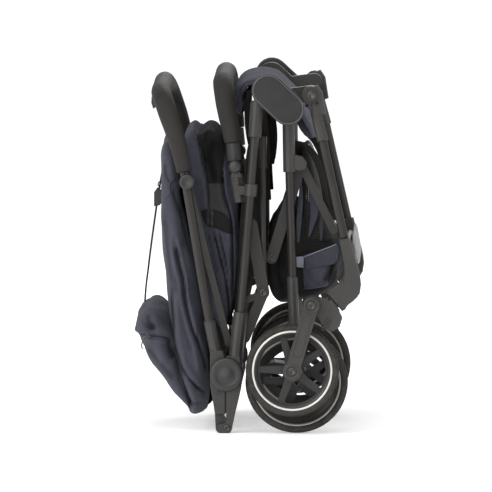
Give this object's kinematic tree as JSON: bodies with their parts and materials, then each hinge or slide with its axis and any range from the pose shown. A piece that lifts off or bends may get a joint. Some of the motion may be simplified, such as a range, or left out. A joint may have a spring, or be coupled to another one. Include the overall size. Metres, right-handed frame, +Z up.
{
  "type": "baby stroller",
  "caption": "Compact folding baby stroller shown folded and standing, with bumper bar, canopy, padded seat, basket and swivelling front wheels.",
  "frame": {"origin": "bottom centre of the folded stroller's box", "axes": "+X the stroller's front, +Y its left side, +Z up as it stands folded"},
  "size_m": [0.3455, 0.524, 0.5406],
  "materials": {
    "frame_plastic": "fine satin moulded grain",
    "frame_metal": "powder coated, satin",
    "stay_metal": "powder coated flat bar",
    "grip_leather": "stitched black artificial leather",
    "slate_fabric": "slate blue-grey melange weave",
    "lining_fabric": "black net and lining",
    "tyre_rubber": "soft foamed tyre, treaded",
    "rim_plastic": "black spoked wheel with a light ring"
  },
  "bodies": {
    "hub": {"hub_frame": "frame_plastic", "hub_cap_left": "frame_plastic", "hub_cap_right": "frame_plastic", "seat_front_pad": "slate_fabric", "basket": "lining_fabric"},
    "push_frame": {"push_sleeve_left": "frame_plastic", "push_sleeve_right": "frame_plastic", "push_tube_left": "frame_metal", "push_tube_right": "frame_metal", "fold_casting_lower_left": "frame_plastic", "fold_casting_lower_right": "frame_plastic", "bumper_adapter_left": "frame_plastic", "bumper_adapter_right": "frame_plastic", "push_cross_tube": "frame_metal", "seat_back": "slate_fabric"},
    "handle": {"fold_casting_upper_left": "frame_plastic", "fold_casting_upper_right": "frame_plastic", "handle_tube_left": "frame_metal", "handle_tube_right": "frame_metal", "grip": "grip_leather", "backrest": "slate_fabric", "rear_flap": "slate_fabric", "hood": "slate_fabric", "recline_cord": "lining_fabric", "cord_buckle": "frame_plastic"},
    "slider": {"release_slider": "frame_plastic"},
    "hood_bow": {"hood_bow": "frame_plastic"},
    "bumper": {"bumper_bar": "grip_leather", "bumper_socket_left": "frame_plastic", "bumper_socket_right": "frame_plastic"},
    "rear_frame": {"rear_sleeve_left": "frame_plastic", "rear_sleeve_right": "frame_plastic", "rear_tube_left": "frame_metal", "rear_tube_right": "frame_metal", "rear_foot_left": "frame_plastic", "rear_foot_right": "frame_plastic", "rear_axle_tube": "frame_metal"},
    "pedal": {"brake_pedal": "frame_plastic"},
    "stays": {"diagonal_stay_left": "stay_metal", "diagonal_stay_right": "stay_metal"},
    "front_frame": {"front_sleeve_left": "frame_plastic", "front_sleeve_right": "frame_plastic", "front_tube_left": "frame_metal", "front_tube_right": "frame_metal", "front_knuckle_left": "frame_plastic", "front_knuckle_right": "frame_plastic", "footrest_tube": "frame_metal", "footrest_pad": "slate_fabric"},
    "rear_wheel_left": {"rear_tyre_left": "tyre_rubber", "rear_rim_left": "rim_plastic"},
    "caster_left": {"caster_swivel_left": "frame_plastic"},
    "fork_left": {"caster_fork_left": "frame_plastic"},
    "front_wheel_left": {"front_tyre_left": "tyre_rubber", "front_rim_left": "rim_plastic"},
    "rear_wheel_right": {"rear_tyre_right": "tyre_rubber", "rear_rim_right": "rim_plastic"},
    "caster_right": {"caster_swivel_right": "frame_plastic"},
    "fork_right": {"caster_fork_right": "frame_plastic"},
    "front_wheel_right": {"front_tyre_right": "tyre_rubber", "front_rim_right": "rim_plastic"}
  },
  "joints": [
    {"name": "fold", "type": "hinge", "parent": "hub", "child": "push_frame", "pos_m": [0.033, 0, 0.516], "axis": [0, 1, 0], "range_deg": [0, 134]},
    {"name": "handle_fold", "type": "hinge", "parent": "push_frame", "child": "handle", "pos_m": [-0.0285, 0, 0.008], "axis": [0, 1, 0], "range_deg": [-162, 0]},
    {"name": "bumper_swing", "type": "hinge", "parent": "push_frame", "child": "bumper", "pos_m": [-0.0165, 0, 0.4], "axis": [0, 1, 0], "range_deg": [-44.5, 0]},
    {"name": "rear_leg_swing", "type": "hinge", "parent": "hub", "child": "rear_frame", "pos_m": [0.063, 0, 0.488], "axis": [0, 1, 0], "range_deg": [0, 50.5]},
    {"name": "front_leg_swing", "type": "hinge", "parent": "hub", "child": "front_frame", "pos_m": [0.098, 0, 0.508], "axis": [0, 1, 0], "range_deg": [-50.5, 0]},
    {"name": "hood_open", "type": "hinge", "parent": "handle", "child": "hood_bow", "pos_m": [-0.0885, 0, 0.378], "axis": [0, 1, 0], "range_deg": [-54, 0]},
    {"name": "stay_swing", "type": "hinge", "parent": "rear_frame", "child": "stays", "pos_m": [0.082, 0, 0.402], "axis": [0, 1, 0], "range_deg": [-27.5, 0]},
    {"name": "release_slide", "type": "slide", "parent": "handle", "child": "slider", "axis": [0, 1, 0], "range_m": [-0.006, 0.006], "stiffness_N_per_m": 300},
    {"name": "brake_press", "type": "hinge", "parent": "rear_frame", "child": "pedal", "pos_m": [0.076, 0, 0.077], "axis": [0, 1, 0], "range_deg": [-18, 0]},
    {"name": "rear_spin_left", "type": "hinge", "parent": "rear_frame", "child": "rear_wheel_left", "pos_m": [0.076, 0.195, 0.077], "axis": [0, 1, 0], "continuous": true},
    {"name": "caster_turn_left", "type": "hinge", "parent": "front_frame", "child": "caster_left", "pos_m": [0.134, 0.236, 0.197], "axis": [0.7547, 0, 0.6561], "range_deg": [0, 36]},
    {"name": "fork_spring_left", "type": "hinge", "parent": "caster_left", "child": "fork_left", "pos_m": [0.099, 0.236, 0.196], "axis": [0, 1, 0], "range_deg": [-4, 4], "stiffness_Nm_per_rad": 60},
    {"name": "front_spin_left", "type": "hinge", "parent": "fork_left", "child": "front_wheel_left", "pos_m": [0.07, 0.236, 0.097], "axis": [0, 1, 0], "continuous": true},
    {"name": "rear_spin_right", "type": "hinge", "parent": "rear_frame", "child": "rear_wheel_right", "pos_m": [0.076, -0.195, 0.077], "axis": [0, 1, 0], "continuous": true},
    {"name": "caster_turn_right", "type": "hinge", "parent": "front_frame", "child": "caster_right", "pos_m": [0.134, -0.236, 0.197], "axis": [0.7547, 0, 0.6561], "range_deg": [-36, 0]},
    {"name": "fork_spring_right", "type": "hinge", "parent": "caster_right", "child": "fork_right", "pos_m": [0.099, -0.236, 0.196], "axis": [0, 1, 0], "range_deg": [-4, 4], "stiffness_Nm_per_rad": 60},
    {"name": "front_spin_right", "type": "hinge", "parent": "fork_right", "child": "front_wheel_right", "pos_m": [0.07, -0.236, 0.097], "axis": [0, 1, 0], "continuous": true}
  ],
  "couplings": [
    {"joint": "handle_fold", "follows": "fold", "ratio": -1.205},
    {"joint": "bumper_swing", "follows": "fold", "ratio": -0.33},
    {"joint": "rear_leg_swing", "follows": "fold", "ratio": 0.373},
    {"joint": "front_leg_swing", "follows": "fold", "ratio": -0.373},
    {"joint": "hood_open", "follows": "fold", "ratio": -0.4},
    {"joint": "stay_swing", "follows": "fold", "ratio": -0.2}
  ]
}
